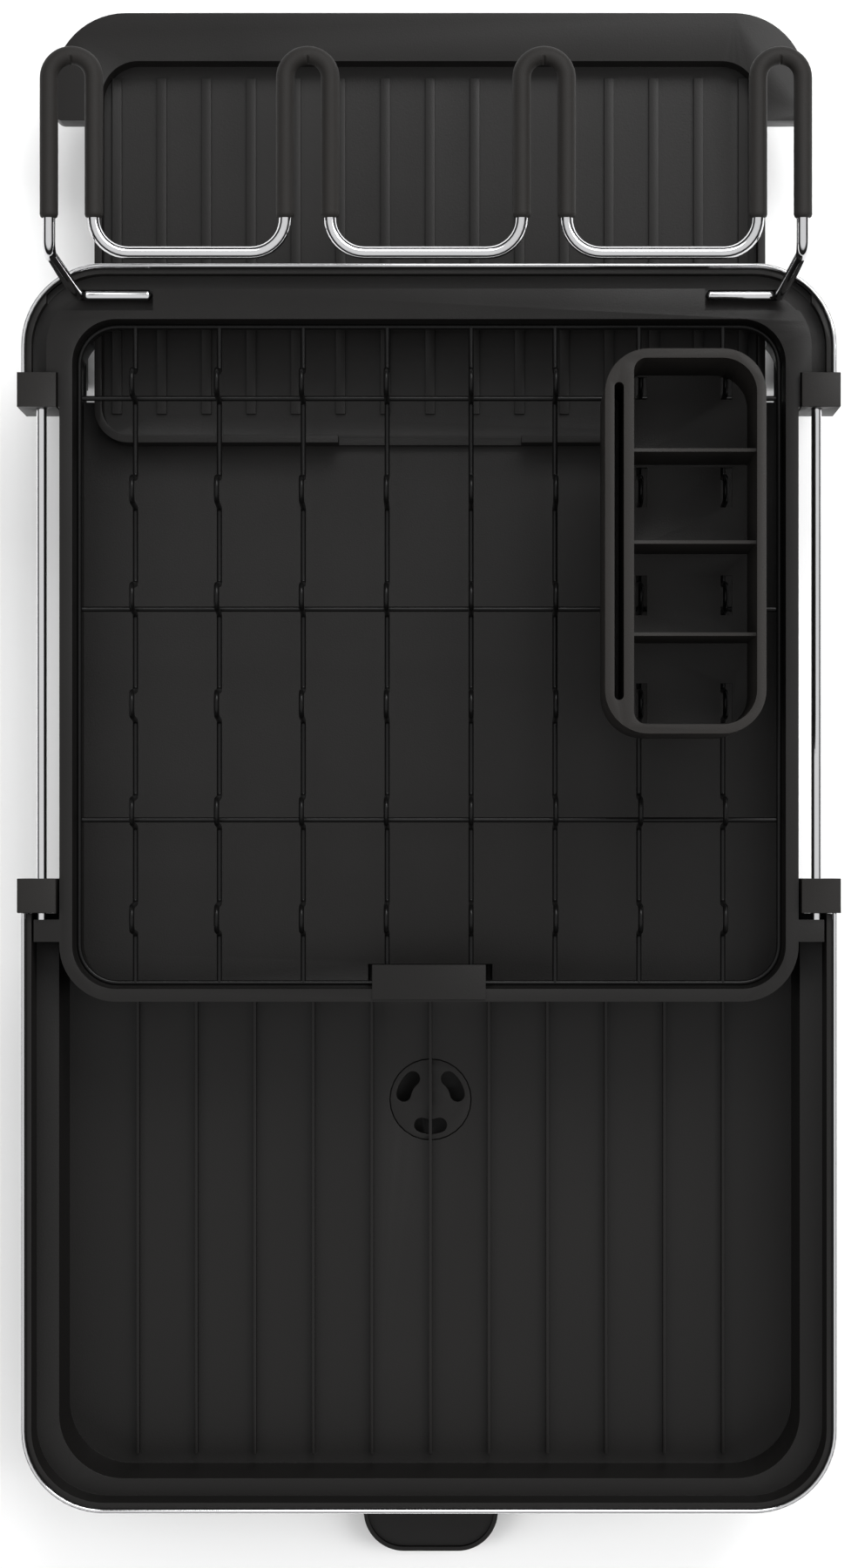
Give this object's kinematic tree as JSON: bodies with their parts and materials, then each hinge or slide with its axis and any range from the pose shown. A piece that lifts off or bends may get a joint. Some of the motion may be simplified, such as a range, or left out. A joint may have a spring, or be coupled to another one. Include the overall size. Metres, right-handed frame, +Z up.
{
  "type": "dish drying rack",
  "caption": "Extending dish rack with a wire plate grid in a tub, sliding front tray, drip tray, cup hooks, cutlery holder and swivel spout.",
  "frame": {"origin": "on the worktop, under the middle of the whole rack as drawn out", "axes": "+X right, +Y towards the cup hooks at the back, +Z up"},
  "size_m": [0.3336, 0.6442, 0.1884],
  "materials": {
    "black_plastic": "fine satin moulded surface",
    "polished_steel": "bright polished",
    "coated_wire": "glossy black coating",
    "soft_rubber": "matte rubber"
  },
  "bodies": {
    "rack_base": {"rear_tub": "black_plastic", "rear_band": "polished_steel", "rear_end_cap_left": "black_plastic", "slide_rod_left": "polished_steel", "rear_end_cap_right": "black_plastic", "slide_rod_right": "polished_steel", "tub_foot_left": "soft_rubber", "tub_foot_right": "soft_rubber", "wire_rack": "coated_wire", "cup_hooks": "polished_steel", "hook_sleeve_1": "soft_rubber", "hook_sleeve_2": "soft_rubber", "hook_sleeve_3": "soft_rubber", "hook_sleeve_4": "soft_rubber", "cutlery_holder": "black_plastic"},
    "extension": {"front_tray": "black_plastic", "front_band": "polished_steel", "tray_end_cap_left": "black_plastic", "tray_end_cap_right": "black_plastic", "tray_front_foot_left": "soft_rubber", "tray_front_foot_right": "soft_rubber", "tray_rear_foot_left": "soft_rubber", "tray_rear_foot_right": "soft_rubber", "drain_grate": "black_plastic"},
    "spout": {"drain_spout": "black_plastic"},
    "drip_drawer": {"drip_tray": "black_plastic"}
  },
  "joints": [
    {"name": "tray_slide", "type": "slide", "parent": "rack_base", "child": "extension", "axis": [0, 1, 0], "range_m": [0, 0.187]},
    {"name": "spout_swivel", "type": "hinge", "parent": "extension", "child": "spout", "pos_m": [0, -0.1297, 0.014], "axis": [0, 0, 1], "range_deg": [-90, 90]},
    {"name": "drip_tray_slide", "type": "slide", "parent": "rack_base", "child": "drip_drawer", "axis": [0, 1, 0], "range_m": [-0.06, 0.03]}
  ]
}
